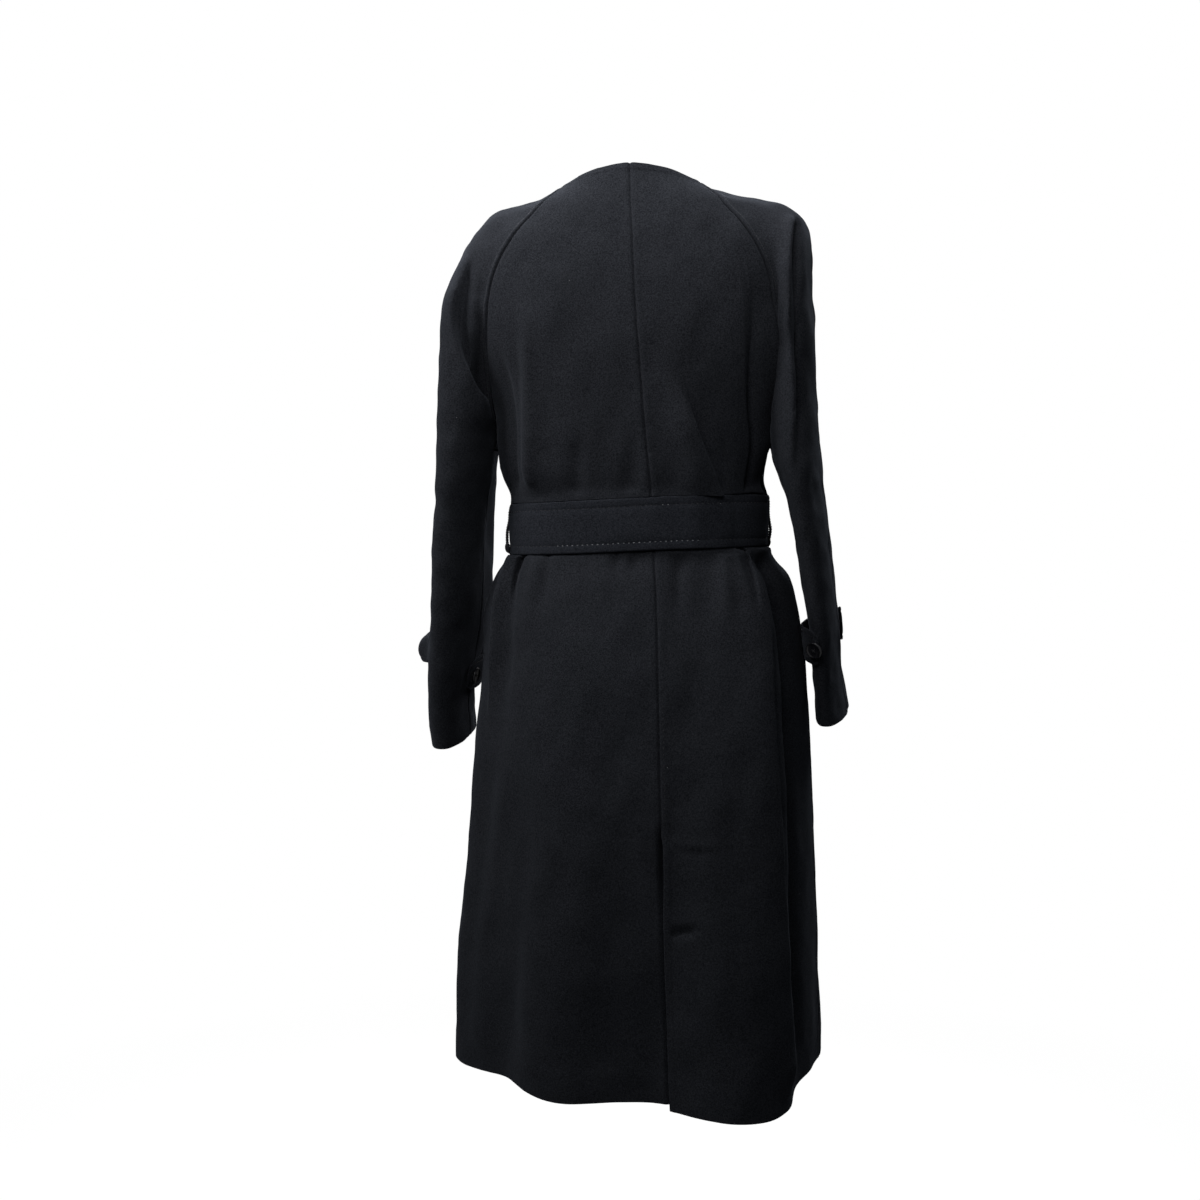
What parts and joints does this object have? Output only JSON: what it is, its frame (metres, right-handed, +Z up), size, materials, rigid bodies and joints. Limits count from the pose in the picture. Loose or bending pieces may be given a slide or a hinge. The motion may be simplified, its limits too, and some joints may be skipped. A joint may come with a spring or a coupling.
{
  "type": "coat",
  "caption": "Collarless belted midi coat with raglan sleeves, a back vent and buttoned cuff straps, in its worn form with nobody inside.",
  "frame": {"origin": "middle of the neck opening at the height of the shoulder line, where the wearer's shoulders carry the coat", "axes": "+Z up, the front of the coat faces -Y, and the wearer's right hand is at -X"},
  "size_m": [0.5236, 0.3466, 1.062],
  "materials": {
    "black_wool": "matte wool coating with a short nap",
    "black_button": "polished",
    "black_thread": "twisted thread"
  },
  "bodies": {
    "root": {"back_left": "black_wool", "back_right": "black_wool", "front_left": "black_wool", "front_right": "black_wool", "sleeve_left_back": "black_wool", "sleeve_left_front": "black_wool", "sleeve_right_back": "black_wool", "sleeve_right_front": "black_wool", "belt": "black_wool", "belt_keeper": "black_wool", "belt_loop_left": "black_thread", "belt_loop_right": "black_thread", "cuff_strap_left": "black_wool", "cuff_strap_right": "black_wool", "cuff_button_left": "black_button", "cuff_button_right": "black_button"}
  },
  "joints": []
}
